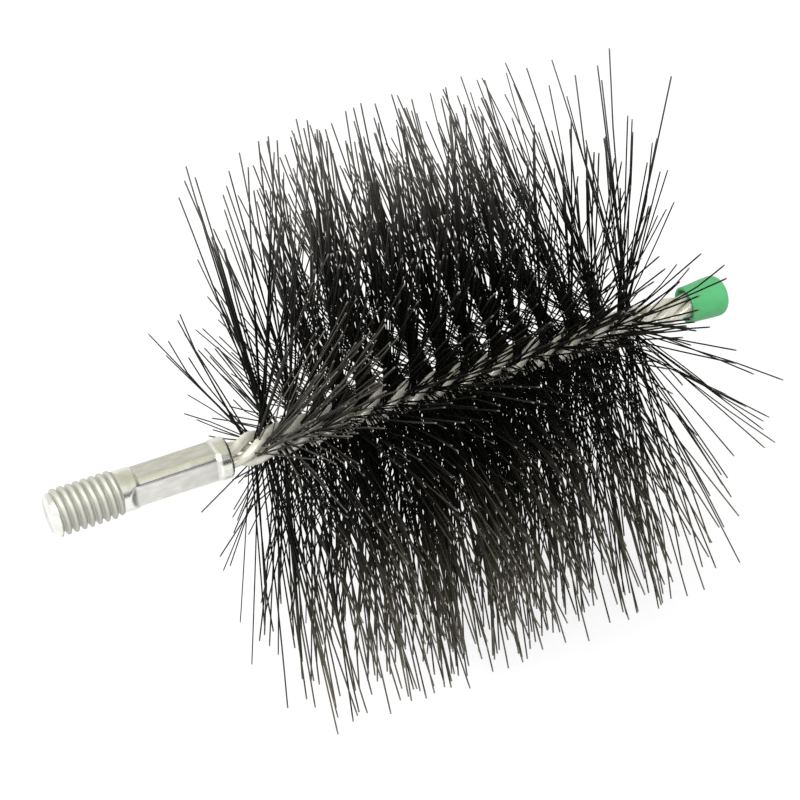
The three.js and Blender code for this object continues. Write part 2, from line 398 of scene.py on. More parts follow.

# %% [markdown]
# ## Dark spring steel
# Bristle wire is hardened in oil, which leaves it nearly black with a brownish sheen. No two
# strands are quite alike, so each strand carries a random tone. Three coats lie over the black,
# and they are mostly painted light: a pale tan of painted light on the strands near the fitting
# that face the front, a brown of painted light on the lower side of the brush, and grey towards
# the tips, partly oil worn off and partly painted light, most of all on the upper side, where it
# is painted light from above. The cut ends are bare and painted pale as glints. Where a point
# lies says how much each coat covers, and the strand's tone weakens or strengthens it. An
# attribute that runs from root to tip says how far out a point is.

# %% Where the painted light and the wear lie
UPPER_AXIS = (0.0, 0.67, 0.74)
REACH_START = 20 * MM
REACH_END = 70 * MM
FRONT_AXIS = (0.0, -0.77, 0.64)
FACING_START = 0.88
FACING_END = 0.99
FRONT_LIGHT_START = 62 * MM
FRONT_LIGHT_END = 88 * MM
FRONT_LIGHT_TONES = (-0.25, 1.0)
LOWER_LIGHT_START = 0.25
LOWER_LIGHT_END = 0.8
LOWER_LIGHT_TONES = (0.1, 1.0)
TIP_GREY_START = 0.45
TIP_GREY_EVERYWHERE = 0.08
PAINTED_LIGHT_ABOVE = 0.72
TIP_GREY_TONES = (0.4, 1.0)
CUT_START = 0.97


def toned(tree, factor, tone, tones):
    """A factor made weaker or stronger by the strand's tone."""
    return times(tree, factor, rescale(tree, tone, *tones))


def front_light_factor(tree, tone):
    """Painted light, near the fitting, on the strands that point at the front."""
    station = part_of(tree, object_place(tree), "X")
    near = ramp_between(tree, station, FRONT_LIGHT_END, FRONT_LIGHT_START)
    outward = unit(tree, combine(tree, "MULTIPLY", object_place(tree), (0, 1, 1)))
    facing = ramp_between(tree, reach_along(tree, outward, FRONT_AXIS), FACING_START, FACING_END)
    return toned(tree, times(tree, near, facing), tone, FRONT_LIGHT_TONES)


def lower_light_factor(tree, tone, along, reach):
    """Painted light in brown, on the outer part of the strands below."""
    below = ramp_between(tree, times(tree, reach, -1.0), REACH_START, REACH_END)
    outer = ramp_between(tree, along, LOWER_LIGHT_START, LOWER_LIGHT_END)
    return toned(tree, times(tree, below, outer), tone, LOWER_LIGHT_TONES)


def wear_and_light_factor(tree, tone, along, reach):
    """Grey towards the tips, partly worn oil and partly painted light, much more above, where it is
    painted light from above, and the bare cut ends, painted pale as glints.
    """
    above = ramp_between(tree, reach, REACH_START, REACH_END)
    share = times_plus(tree, above, PAINTED_LIGHT_ABOVE, TIP_GREY_EVERYWHERE)
    worn_and_lit = times(tree, ramp_between(tree, along, TIP_GREY_START, 1.0), share)
    return larger(tree, toned(tree, worn_and_lit, tone, TIP_GREY_TONES), ramp_between(tree, along, CUT_START, 1.0))


# %% Dark spring steel
OIL_BLACK = (0.0006, 0.0006, 0.0006, 1)
OIL_BROWN = (0.010, 0.0095, 0.007, 1)
# The next three colours are mostly painted light: a tan on the front strands near the fitting, a brown
# below, and a grey above and at the tips, which is partly wear.
PAINTED_FRONT_LIGHT = (0.23, 0.215, 0.18, 1)
PAINTED_LOWER_LIGHT = (0.145, 0.134, 0.10, 1)
WORN_AND_LIT_GREY = (0.23, 0.225, 0.21, 1)
STREAK_SHARE = 0.35
TONE_SHARE = 0.65


def spring_steel():
    """Oil-dark wire, its tone set strand by strand, under painted light and wear."""
    material, tree, shader = new_finish("spring_steel")
    tone = attribute(tree, "tone")
    along = attribute(tree, "along")
    reach = reach_along(tree, object_place(tree), UPPER_AXIS)
    streak = object_noise(tree, scale=300)
    mixed = times_plus(tree, streak, STREAK_SHARE, times(tree, tone, TONE_SHARE))
    colour = blend_colours(tree, mixed, OIL_BLACK, OIL_BROWN, start=0.2, end=0.95)
    # Painted light: a pale tan on the strands near the fitting that face the front.
    colour = coat(tree, front_light_factor(tree, tone), colour, PAINTED_FRONT_LIGHT)
    # Painted light: a brown on the outer part of the lower strands.
    colour = coat(tree, lower_light_factor(tree, tone, along, reach), colour, PAINTED_LOWER_LIGHT)
    # Grey towards the tips, partly wear and partly painted light, painted light from above, and painted
    # glints on the bare cut ends.
    colour = coat(tree, wear_and_light_factor(tree, tone, along, reach), colour, WORN_AND_LIT_GREY)
    fill(tree, shader, {"Base Color": colour, "Roughness": 0.5, "Specular IOR Level": 0.05})
    return material


dark_steel = spring_steel()
print("made", dark_steel.name)

# %% [markdown]
# ## The screw thread
# The stud has a half-inch thread with twelve turns to the inch. The Screw modifier could cut it, but
# its ends need care: a chamfer in front and a run-out behind. So the stud is wrapped point by point.
# The profile gives places along one turn of the thread, and how deep the cut is at each. Each line
# of points along the stud starts a little later than the line beside it, so that the crests and
# the roots join into one helix.

# %% The threaded stud
THREAD_PITCH = 25.4 * MM / 12
THREAD_DEPTH = 0.6 * THREAD_PITCH
THREAD_LENGTH = 18.8 * MM
THREAD_CHAMFER = 1.45 * MM
THREAD_RUNOUT = 1.2 * MM
THREAD_SHARES = (
    (0.00, 0.00), (0.08, 0.00), (0.16, 0.06), (0.30, 0.50),
    (0.44, 0.94), (0.52, 1.00), (0.60, 0.94), (0.86, 0.06),
)
TURNS_BEFORE = 1
TURNS_BEYOND = 2
LINE_GAP = 0.2 * MM
SHANK_RADIUS = 5.782 * MM
STUD_END = THREAD_LENGTH + LINE_GAP


def stud_radius(x, depth_share):
    """The stud's radius at a place along it, with the thread this deep there."""
    fade = min(max((THREAD_LENGTH - x) / THREAD_RUNOUT, 0), 1)
    crest = SHANK_RADIUS + (thread_radius - SHANK_RADIUS) * fade
    chamfer = thread_radius - max(THREAD_CHAMFER - x, 0)
    return min(chamfer, crest - THREAD_DEPTH * depth_share * fade)


def stud_line(turn):
    """Points [x, r] along the stud at this turn round it, shifted by the helix."""
    line = []
    for j in range(int(THREAD_LENGTH / THREAD_PITCH) + TURNS_BEFORE + TURNS_BEYOND):
        for place, depth_share in THREAD_SHARES:
            x = (j - TURNS_BEFORE + place + turn / FULL_TURN) * THREAD_PITCH
            x = min(max(x, 0), STUD_END)
            line.append((x, stud_radius(x, depth_share)))
    return line


print("thread: %.1f turns" % (THREAD_LENGTH / THREAD_PITCH))

# %% [markdown]
# ## The pressed shank
# Behind the thread the fitting is round, then pressed square onto the core wires between four jaws.
# Each jaw leaves a flat with a short ramp at both ends. A cylinder and four cuts would do, but one
# formula gives the same surface with clean edges: at any place the shank is as wide as the round
# bar or the nearest flat, whichever is less. The bore follows the same formula.

# %% The pressed surface
CRIMP_START = 22.6 * MM
SIDE_CRIMP_START = 19.4 * MM
CRIMP_END = 46.6 * MM
CRIMP_RAMP = 1.4 * MM
SIDE_CRIMP_RAMP = 3.6 * MM
CRIMP_SOFTNESS = 0.08 * MM
CLEAR_OF_BAR = 0.5 * MM
CORNER_DEPTH = 0.3 * MM
SHANK_FLAT = 4.662 * MM


def off_flat(turn):
    """How far a direction is turned from the middle of the nearest flat."""
    return (turn + QUARTER / 2) % QUARTER - QUARTER / 2


def ramp_share(x, start, ramp):
    """How far the jaws have pressed at this place along the fitting, from 0 to 1."""
    share = min(max(min((x - start) / ramp, (CRIMP_END - x) / CRIMP_RAMP), 0), 1)
    return share * share * (3 - 2 * share)


def pressed_radius(x, turn, surface, flat):
    """Round bar or flat, whichever is nearer to the core in this direction, with a soft edge."""
    sideways = abs(math.cos(turn)) > abs(math.sin(turn))
    start, ramp = (SIDE_CRIMP_START, SIDE_CRIMP_RAMP) if sideways else (CRIMP_START, CRIMP_RAMP)
    clear = surface + CLEAR_OF_BAR
    pressed = clear + (flat - clear) * ramp_share(x, start, ramp)
    corner = surface - CORNER_DEPTH * ramp_share(x, CRIMP_START, CRIMP_RAMP)
    pressed = pressed / math.cos(off_flat(turn))
    apart = math.hypot(corner - pressed, CRIMP_SOFTNESS)
    return (corner + pressed - apart) / 2


print("flats %.1f mm apart" % (2 * SHANK_FLAT / MM))

# %% [markdown]
# A line of points runs from the end of the thread over the collar, whose outer edge is rounded, and
# back down the bore to its point. It has more points on the ramps, where the surface bends, and
# none in the middle of a flat.

# %% A line along the shank
BORE_RADIUS = 3.982 * MM
BORE_FLAT = 3.313 * MM
BORE_END = 21.8 * MM
BORE_POINT = 2.4 * MM
EDGE = 0.3 * MM
EDGE_SHARE = 0.3
COLLAR_ROUNDING = 1.0 * MM
COLLAR_GAP = 0.1 * MM
FLAT_GAP = 0.15 * MM
RAMP_STEPS = 8
ROUNDING_STEPS = 6


def outside_stations():
    """Places along the outside of the shank, close together on the ramps."""
    flat_start = CRIMP_START + CRIMP_RAMP
    flat_end = CRIMP_END - CRIMP_RAMP
    ramps = [(SIDE_CRIMP_START, SIDE_CRIMP_RAMP), (CRIMP_START, CRIMP_RAMP), (flat_end, CRIMP_RAMP)]
    places = [STUD_END + EDGE, flat_start + FLAT_GAP, flat_end - FLAT_GAP]
    for start, ramp in ramps:
        places += [start + ramp * i / RAMP_STEPS for i in range(RAMP_STEPS + 1)]
    return sorted(places) + [CRIMP_END + LINE_GAP, fitting_end - COLLAR_ROUNDING - COLLAR_GAP]


def shank_line(turn):
    """Points [x, r] from the end of the thread, over the collar and down the bore to its point."""
    line = [(STUD_END, SHANK_RADIUS)]
    line += [(x, pressed_radius(x, turn, SHANK_RADIUS, SHANK_FLAT)) for x in outside_stations()]
    for i in range(ROUNDING_STEPS + 1):
        bend = QUARTER * i / ROUNDING_STEPS
        x = fitting_end - COLLAR_ROUNDING * (1 - math.sin(bend))
        line.append((x, SHANK_RADIUS - COLLAR_ROUNDING * (1 - math.cos(bend))))
    line.append((fitting_end, BORE_RADIUS + EDGE))
    line.append((fitting_end - EDGE_SHARE * EDGE, BORE_RADIUS + EDGE_SHARE * EDGE))
    inside = [fitting_end - EDGE, CRIMP_END, CRIMP_END - CRIMP_RAMP, CRIMP_START + CRIMP_RAMP, BORE_END]
    line += [(x, pressed_radius(x, turn, BORE_RADIUS, BORE_FLAT)) for x in inside]
    line.append((BORE_END - BORE_POINT, 0))
    return line


print("points in a line:", len(shank_line(0)))

# %% [markdown]
# ## Wrapping the fitting
# The lines of points now go round the fitting, close together where a flat meets the round bar. On
# the stud the last line lies one whole pitch behind the first, so where they meet the faces skip
# one profile. Points that fall together are merged, which closes the ends. A closed mesh has no
# open edges, and a volume above zero says that its faces point outwards, so both are printed.

# %% Build the fitting
FLAT_LINES = 26
ROUND_LINES = 14
MERGE_REACH = 0.001 * MM
SMALLEST_EDGE = 0.0001 * MM
flat_edge = math.acos(SHANK_FLAT / SHANK_RADIUS)


def line_turns():
    """Turns round the fitting, with lines on the edges of the four flats."""
    turns = []
    span = QUARTER - 2 * flat_edge
    for quarter in range(4):
        middle = quarter * QUARTER
        turns += [middle - flat_edge + 2 * flat_edge * i / FLAT_LINES for i in range(FLAT_LINES)]
        turns += [middle + flat_edge + span * i / ROUND_LINES for i in range(ROUND_LINES)]
    return turns


def wrap(lines, turns, skip=0):
    """Points and quads round the core; where the ends meet, the faces skip some points."""
    count = len(lines[0])
    points = []
    for line, turn in zip(lines, turns):
        points += [(x, r * math.cos(turn), r * math.sin(turn)) for x, r in line]
    faces = []
    for i in range(len(lines)):
        after = (i + 1) % len(lines)
        shift = skip if after == 0 else 0
        for k in range(count - 1):
            near = min(k + shift, count - 1)
            far = min(k + 1 + shift, count - 1)
            faces.append((i * count + k, after * count + near, after * count + far, i * count + k + 1))
    return points, faces


def build_fitting():
    """One closed mesh: stud, shank, collar and bore."""
    turns = line_turns()
    stud = [[(0, 0)] + stud_line(turn - turns[0]) for turn in turns]
    shank = [shank_line(turn) for turn in turns]
    stud_points, stud_faces = wrap(stud, turns, len(THREAD_SHARES))
    shank_points, shank_faces = wrap(shank, turns)
    start = len(stud_points)
    shank_faces = [tuple(start + i for i in face) for face in shank_faces]
    return mesh_object("dressed_fitting", stud_points + shank_points, stud_faces + shank_faces)


def finish_mesh(made):
    """Merges points that fall together, smooths the shading, and prints the volume as a check."""
    mesh = bmesh.new()
    mesh.from_mesh(made.data)
    bmesh.ops.remove_doubles(mesh, verts=mesh.verts, dist=MERGE_REACH)
    bmesh.ops.dissolve_degenerate(mesh, dist=SMALLEST_EDGE, edges=mesh.edges)
    for face in mesh.faces:
        face.smooth = True
    open_edges = sum(not edge.is_manifold for edge in mesh.edges)
    volume = mesh.calc_volume(signed=True) / MM ** 3
    mesh.to_mesh(made.data)
    mesh.free()
    print("%s: %.0f cubic mm, %d open edges" % (made.name, volume, open_edges))


fitting = build_fitting()
finish_mesh(fitting)

# %% [markdown]
# The finish has to know which points were pressed or threaded and where the painted shade lies. A
# point's place says so: on a flat it lies deeper than the round bar would, and the painted shade
# runs in a line along one edge.

# %% Mark and dress the fitting
FLAT_SHARE = 0.97
EDGE_SHADE_REACH = math.radians(1.6)
EDGE_SHADE_STRENGTH = 0.95


def pressed_share(x, outward, aside):
    """How deep a point is pressed, from 0 on the round bar to 1 on the middle of a flat."""
    if outward <= BORE_RADIUS or not STUD_END < x < CRIMP_END or abs(aside) >= FLAT_SHARE * flat_edge:
        return 0.0
    depth = SHANK_RADIUS - outward * math.cos(aside)
    return min(max(depth / (SHANK_RADIUS - SHANK_FLAT), 0.0), 1.0)


def mark_fitting(made):
    """Stores on each point how pressed and threaded it is and how much painted shade it carries."""
    marks = ("pressed", "threaded", "edge_shade")
    for name in marks:
        made.data.attributes.new(name, "FLOAT", "POINT")
    pressed, threaded, edge_shade = (made.data.attributes[name].data for name in marks)
    for i, vertex in enumerate(made.data.vertices):
        x, y, z = vertex.co
        outward = math.hypot(y, z)
        aside = off_flat(math.atan2(z, y))
        pressed[i].value = pressed_share(x, outward, aside)
        threaded[i].value = 1.0 if THREAD_CHAMFER < x < THREAD_LENGTH else 0.0
        # Painted shade: the points along one edge of each flat get the dark line.
        on_edge = abs(aside + flat_edge) < EDGE_SHADE_REACH and outward > SHANK_FLAT
        in_edge_shade = on_edge and CRIMP_START < x < CRIMP_END - CRIMP_RAMP
        edge_shade[i].value = EDGE_SHADE_STRENGTH if in_edge_shade else 0.0


mark_fitting(fitting)
fitting.data.materials.append(zinc)
hand_over(fitting, "threaded_fitting")

# %% [markdown]
# ## The twist
# The four core wires lie straight in the fitting. Outside it they ease into a left-handed twist and
# then turn once in every 32 mm, up to the cap. The bristles are caught between them, so they follow
# the same twist. Both trees below use this one function, which adds the steps that turn a distance
# along the core into an angle.

# %% The twist as nodes
TWIST_PITCH = 32.0 * MM
TWIST_EASE = 5.4 * MM
TWIST_START = 47.2 * MM
TWIST_STEADY = TWIST_START + TWIST_EASE
BRUSH_START = 57.1 * MM
BRUSH_END = 174.1 * MM


def twist_angle(tree, x):
    """Nodes for the twist at a distance along the core: nothing, then easing in, then steady."""
    eased = smaller(tree, larger(tree, minus(tree, x, TWIST_START), 0.0), TWIST_EASE)
    easing = over(tree, times(tree, eased, eased), 2 * TWIST_EASE)
    steady = larger(tree, minus(tree, x, TWIST_STEADY), 0.0)
    return times(tree, plus(tree, easing, steady), -FULL_TURN / TWIST_PITCH)


def polar(tree, angle, outward, sideways=0.0):
    """Nodes for the y and z of a point given outward and sideways from a line at this angle."""
    to_y = cosine(tree, angle)
    to_z = sine(tree, angle)
    y = minus(tree, times(tree, outward, to_y), times(tree, sideways, to_z))
    z = plus(tree, times(tree, outward, to_z), times(tree, sideways, to_y))
    return y, z


# %% [markdown]
# ## Growing a piece from nodes
# A tree of geometry nodes gets its sizes through named inputs. One helper makes the tree and its
# inputs, and another sets them on a modifier, grows the piece and keeps the result as a plain mesh.

# %% Helpers for geometry trees


def new_tree(name, sizes):
    """A tree of geometry nodes with one named input for each size."""
    tree = bpy.data.node_groups.new(name, "GeometryNodeTree")
    tree.interface.new_socket("Geometry", in_out="OUTPUT", socket_type="NodeSocketGeometry")
    kinds = {int: "NodeSocketInt", float: "NodeSocketFloat"}
    for label, value in sizes.items():
        kind = kinds.get(type(value), "NodeSocketMaterial")
        tree.interface.new_socket(label, in_out="INPUT", socket_type=kind)
    given = tree.nodes.new("NodeGroupInput").outputs
    return tree, given


def straight_line(tree, start, end, count):
    """A straight curve with evenly spaced points."""
    line = step(tree, "GeometryNodeCurvePrimitiveLine", {"Start": start, "End": end})
    return step(tree, "GeometryNodeResampleCurve", {0: line, "Count": count})


def end_tree(tree, curves, sides, diameter, material):
    """Sweeps a circle along the curves and ends the tree with real geometry and its material."""
    inputs = {"Resolution": sides, "Radius": times(tree, diameter, 0.5)}
    circle = step(tree, "GeometryNodeCurvePrimitiveCircle", inputs)
    inputs = {"Curve": curves, "Profile Curve": circle, "Fill Caps": True}
    swept = step(tree, "GeometryNodeCurveToMesh", inputs)
    real = step(tree, "GeometryNodeRealizeInstances", {0: swept})
    smooth = step(tree, "GeometryNodeSetShadeSmooth", {"Geometry": real})
    finished = step(tree, "GeometryNodeSetMaterial", {"Geometry": smooth, "Material": material})
    add_node(tree, "NodeGroupOutput", {0: finished})


def grow(name, tree, sizes):
    """Grows a piece from a tree and its sizes, and keeps it as a plain mesh."""
    made = mesh_object(name, [], [])
    modifier = made.modifiers.new("grow", "NODES")
    modifier.node_group = tree
    for socket in tree.interface.items_tree:
        if socket.in_out == "INPUT":
            modifier[socket.identifier] = sizes[socket.name]
    graph = bpy.context.evaluated_depsgraph_get()
    grown = bpy.data.meshes.new_from_object(made.evaluated_get(graph))
    made.modifiers.remove(modifier)
    made.data = grown
    made.data.name = name
    return made


# %% [markdown]
# ## The core wires
# Each core wire is a round wire bent along a helix. The tree draws a straight line, moves its points
# onto the helix, and sweeps a circle along it. A circle swept square to its path stays round, as
# drawn wire does. Where the bristles are packed between them, the wires stand further apart. One
# tree makes all four from four starting angles.

# %% Grow the core wires
WIRE_STEP = 0.9 * MM

wire_sizes = {
    "Start": wire_low.x,
    "End": wire_high.x,
    "Wire Diameter": 2.8 * MM,
    "Centre Radius": 2.282 * MM,
    "Swell": 0.9 * MM,
    "Swell Ease": 7.3 * MM,
    "Brush Start": BRUSH_START,
    "Brush End": BRUSH_END,
    "First Angle": 0.0,
    "Points": int((wire_high.x - wire_low.x) / WIRE_STEP),
    "Sides": 24,
    "Material": galvanised,
}


def wire_tree():
    """Sweeps a circle along a helix that eases in and swells where the bristles are."""
    tree, given = new_tree("core_wire", wire_sizes)
    start = arrow(tree, given["Start"], 0.0, 0.0)
    end = arrow(tree, given["End"], 0.0, 0.0)
    line = straight_line(tree, start, end, given["Points"])
    x = part_of(tree, step(tree, "GeometryNodeInputPosition"), "X")
    angle = plus(tree, twist_angle(tree, x), given["First Angle"])
    before = minus(tree, given["Brush Start"], given["Swell Ease"])
    beyond = plus(tree, given["Brush End"], given["Swell Ease"])
    spreading = ramp_between(tree, x, before, given["Brush Start"])
    closing = ramp_between(tree, x, given["Brush End"], beyond)
    swollen = minus(tree, spreading, closing)
    y, z = polar(tree, angle, times_plus(tree, swollen, given["Swell"], given["Centre Radius"]))
    inputs = {"Geometry": line, "Position": arrow(tree, x, y, z)}
    wound = step(tree, "GeometryNodeSetPosition", inputs)
    end_tree(tree, wound, given["Sides"], given["Wire Diameter"], given["Material"])
    return tree


def grow_wires():
    """Four wires a quarter turn apart, between the four grooves."""
    tree = wire_tree()
    for row in range(ROWS):
        sizes = {**wire_sizes, "First Angle": (row + 0.5) * QUARTER}
        wire = grow("twisted_wire_%d" % (row + 1), tree, sizes)
        hand_over(wire, "core_wire_%d" % (row + 1))


grow_wires()

# %% [markdown]
# ## The bristles
# A bristle is a straight spring wire, clamped in the groove between two core wires, that stands
# square to the core. On the real brush hundreds of them share a groove, each with its own small
# error: it leans, fans out, bends a little and is sheared to its own length. So the tree scatters
# points along a groove, gives each its own random errors, puts a straight line on every point and
# bends these lines into place. A particle system could do this too, but nodes keep each strand's
# place exact, and the lowest tips can be cut at the floor.
#
# Use has left its mark as well. Near the fitting the strands are combed together towards the front,
# and further on they are parted there, so the core shows. At the far end they splay beyond the
# row, most of all on the upper side, and at the near end a few of them lean back. No strand leans
# more than the steepest lean.

# %% Sizes of the bristles
bristle_sizes = {
    "Strands": 505,
    "Start": BRUSH_START,
    "End": BRUSH_END,
    "Groove Angle": 0.0,
    "Root Radius": 2.6 * MM,
    "Root Spread": 1.3 * MM,
    "Root Jitter": 1.0 * MM,
    "Tip Radius": 79.7 * MM,
    "Trim": 31.0 * MM,
    "Upper Trim": 5.0 * MM,
    "End Thinning": 0.24,
    "Fan": math.radians(13.0),
    "Combing": math.radians(56.0),
    "Parting": math.radians(18.0),
    "Sweep": math.radians(-6.0),
    "Skew": math.radians(8.0),
    "Sway": math.radians(3.0),
    "Sway Length": 10.0 * MM,
    "Lean": math.radians(7.0),
    "Splay": math.radians(12.5),
    "Steepest Lean": math.radians(18.0),
    "Bow": 2.7 * MM,
    "Kink": 3.1 * MM,
    "Strand Diameter": 0.44 * MM,
    "Floor": floor_height,
    "Seed": 1,
    "Material": dark_steel,
}

print("strands in all:", ROWS * bristle_sizes["Strands"])

# %% [markdown]
# The errors are drawn with fixed seeds, so the brush comes out the same each time. Each kind of
# error has a draw of its own, and the strands of a tuft share a part of some. Most strands are
# nearly right and a few are far out, so two random numbers are multiplied where a strand leans,
# which draws most values towards the middle.

# %% Random values for each strand
DRAWS = (
    "place", "fan", "lean", "length", "bow across", "bow along",
    "kink", "kink turn", "tone", "spread", "splay", "jitter",
)
SECOND_DRAW = 50
TUFT_DRAW = 70
OWN_SHARE = 0.75
TUFT_SHARE = 0.5


def random_value(tree, seed, draw, low=-1.0, high=1.0, again=0, **options):
    """A random number for each strand or tuft, from the tree's seed and the name of the draw."""
    shifted = plus(tree, seed, float(DRAWS.index(draw) + 1 + again))
    inputs = {2: low, 3: high, "Seed": shifted, **options}
    return add_node(tree, "FunctionNodeRandomValue", inputs, data_type="FLOAT").outputs[1]


def clustered_value(tree, seed, draw, tuft):
    """A random number from -1 to 1, mostly near 0, and partly shared by the strands of a tuft."""
    second = random_value(tree, seed, draw, again=SECOND_DRAW)
    own = times(tree, random_value(tree, seed, draw), second)
    shared = random_value(tree, seed, draw, again=TUFT_DRAW, ID=tuft)
    return times_plus(tree, shared, TUFT_SHARE, times(tree, own, OWN_SHARE))


def uneven_share(tree, seed, draw, exponent):
    """A random number from 0 to 1 that an exponent above 1 draws towards 0."""
    return power(tree, random_value(tree, seed, draw, 0.0), exponent)


def store(tree, geometry, name, value):
    """Keeps a number on every point under a name."""
    inputs = {"Geometry": geometry, "Name": name, "Value": value}
    return step(tree, "GeometryNodeStoreNamedAttribute", inputs, domain="POINT")


def recall(tree, name):
    """Reads a number kept under a name."""
    return step(tree, "GeometryNodeInputNamedAttribute", {"Name": name}, data_type="FLOAT")


# %% [markdown]
# The tree has four parts: points with their errors, a line on each point, the bend that puts each
# line in its place, and the sweep that gives it thickness. The first part starts with where each
# strand stands in its row. The ends of the row are a little thinner than its middle.

# %% Places in the row
TUFT_SIZE = 8.0


def strand_places(tree, given):
    """Which tuft each strand is in, its share of the row and its distance along the core."""
    index = step(tree, "GeometryNodeInputIndex")
    tuft = whole_part(tree, over(tree, index, TUFT_SIZE))
    jittered = plus(tree, index, random_value(tree, given["Seed"], "place", 0.0))
    share = over(tree, jittered, given["Strands"])
    wave = sine(tree, times(tree, share, FULL_TURN))
    drawn = times(tree, wave, over(tree, given["End Thinning"], FULL_TURN))
    span = minus(tree, given["End"], given["Start"])
    x = times_plus(tree, plus(tree, share, drawn), span, given["Start"])
    return tuft, share, x


# %% [markdown]
# A strand's fan turns it round the core, away from its groove. Its own error comes first. Then the
# strands near the fitting are gathered towards the front and the others are parted from it, and the
# nearer a strand is to the front, the more it gives way. The parting fades out at the far end.

# %% Fans round the core
FRONT_TURN = math.radians(140.0)
COMBED_START = 72 * MM
COMBED_END = 88 * MM
PARTING_LOSS = 1.25


def strand_fans(tree, given, turn, x, tuft, far_end):
    """How far each strand is turned aside from its groove."""
    fan = times(tree, clustered_value(tree, given["Seed"], "fan", tuft), given["Fan"])
    off_front = minus(tree, FRONT_TURN, turn)
    in_front = times_plus(tree, cosine(tree, off_front), 0.5, 0.5)
    to_front = times(tree, sine(tree, off_front), in_front)
    combed = ramp_between(tree, x, COMBED_END, COMBED_START)
    both = plus(tree, given["Combing"], given["Parting"])
    parting = times(tree, times_plus(tree, far_end, -PARTING_LOSS, 1.0), given["Parting"])
    gathered = minus(tree, times(tree, combed, both), parting)
    return times_plus(tree, to_front, gathered, fan)


# %% [markdown]
# A strand's lean tips it along the core. It is the sum of the strand's own error, a slow sway that
# neighbours share, a sweep that grows along the row, a skew that differs from side to side, and the
# splay at both ends.

# %% Leans along the core
SKEW_TURN = math.radians(47.0)
SKEW_LOSS = 0.75
SPLAY_LENGTH = 26 * MM
SPLAY_POWER = 1.8
NEAR_SPLAY = -0.32
FAR_SPLAY = 0.8
UPPER_SPLAY = 0.7
LEAST_SPLAY = 0.7


def strand_sway(tree, given, x):
    """Smooth noise from -1 to 1 along the core."""
    place = plus(tree, over(tree, x, given["Sway Length"]), given["Seed"])
    inputs = {"W": place, "Scale": 1.0, "Detail": 1.0}
    noise = step(tree, "ShaderNodeTexNoise", inputs, noise_dimensions="1D")
    return times_plus(tree, noise, 2.0, -1.0)


def strand_splay(tree, given, x, side, far_end):
    """How far each strand leans out at the ends of the row."""
    near_end = ramp_between(tree, minus(tree, x, given["Start"]), SPLAY_LENGTH, 0.0)
    far = larger(tree, times_plus(tree, side, UPPER_SPLAY, FAR_SPLAY), LEAST_SPLAY)
    outer = times_plus(tree, near_end, NEAR_SPLAY, times(tree, far_end, far))
    splay = uneven_share(tree, given["Seed"], "splay", SPLAY_POWER)
    return times(tree, times(tree, splay, outer), given["Splay"])


def strand_leans(tree, given, turn, x, share, tuft, far_end):
    """How far each strand leans along the core, up to the steepest lean."""
    lean = times(tree, clustered_value(tree, given["Seed"], "lean", tuft), given["Lean"])
    lean = times_plus(tree, strand_sway(tree, given, x), given["Sway"], lean)
    lean = times_plus(tree, share, given["Sweep"], lean)
    side = cosine(tree, minus(tree, turn, SKEW_TURN))
    skew = times(tree, times_plus(tree, share, -SKEW_LOSS, 1.0), given["Skew"])
    lean = times_plus(tree, side, skew, lean)
    lean = plus(tree, lean, strand_splay(tree, given, x, side, far_end))
    lean = smaller(tree, lean, given["Steepest Lean"])
    return larger(tree, lean, times(tree, given["Steepest Lean"], -1.0))


# %% [markdown]
# All of a strand's values are now kept on its point. The shears left some strands shorter than the
# others, and a few have a bent tip.

# %% Points with their errors
TRIM_POWER = 1.4
KINK_POWER = 6.0


def strand_points(tree, given):
    """Points in a row, one for each strand, that carry its place and its errors."""
    seed = given["Seed"]
    points = step(tree, "GeometryNodePoints", {"Count": given["Strands"]})
    tuft, share, x = strand_places(tree, given)
    turn = plus(tree, twist_angle(tree, x), given["Groove Angle"])
    far_end = ramp_between(tree, minus(tree, given["End"], x), SPLAY_LENGTH, 0.0)
    jitter = times(tree, random_value(tree, seed, "jitter"), given["Root Jitter"])
    longest_trim = times_plus(tree, sine(tree, turn), given["Upper Trim"], given["Trim"])
    trim = times(tree, uneven_share(tree, seed, "length", TRIM_POWER), longest_trim)
    values = {
        "station": plus(tree, x, jitter),
        "turn": turn,
        "fan": strand_fans(tree, given, turn, x, tuft, far_end),
        "lean": strand_leans(tree, given, turn, x, share, tuft, far_end),
        "tip": minus(tree, given["Tip Radius"], trim),
        "bow_across": times(tree, clustered_value(tree, seed, "bow across", tuft), given["Bow"]),
        "bow_along": times(tree, clustered_value(tree, seed, "bow along", tuft), given["Bow"]),
        "kink": times(tree, uneven_share(tree, seed, "kink", KINK_POWER), given["Kink"]),
        "kink_turn": random_value(tree, seed, "kink turn", 0.0, FULL_TURN),
        "tone": random_value(tree, seed, "tone", 0.0),
        "spread": times(tree, random_value(tree, seed, "spread"), given["Root Spread"]),
    }
    for name, value in values.items():
        points = store(tree, points, name, value)
    return points


# %% [markdown]
# The second part puts a line on every point, and the third bends it. A strand's length is the way
# to its own tip, or to the floor where it points down and would go through it. It bows more and
# more towards its tip, and the kink bends the last part of it.

# %% Lines and their bends
BRISTLE_POINTS = 8
LEAST_FALL = 0.001
KINK_START = 0.7


def strand_lines(tree, points):
    """A line of points on every strand, which keeps how far along it each point lies."""
    line = straight_line(tree, (0.0, 0.0, 0.0), (0.0, 0.0, 1.0), BRISTLE_POINTS)
    marked = store(tree, line, "along", step(tree, "GeometryNodeSplineParameter"))
    placed = step(tree, "GeometryNodeInstanceOnPoints", {"Points": points, "Instance": marked})
    return step(tree, "GeometryNodeRealizeInstances", {0: placed})


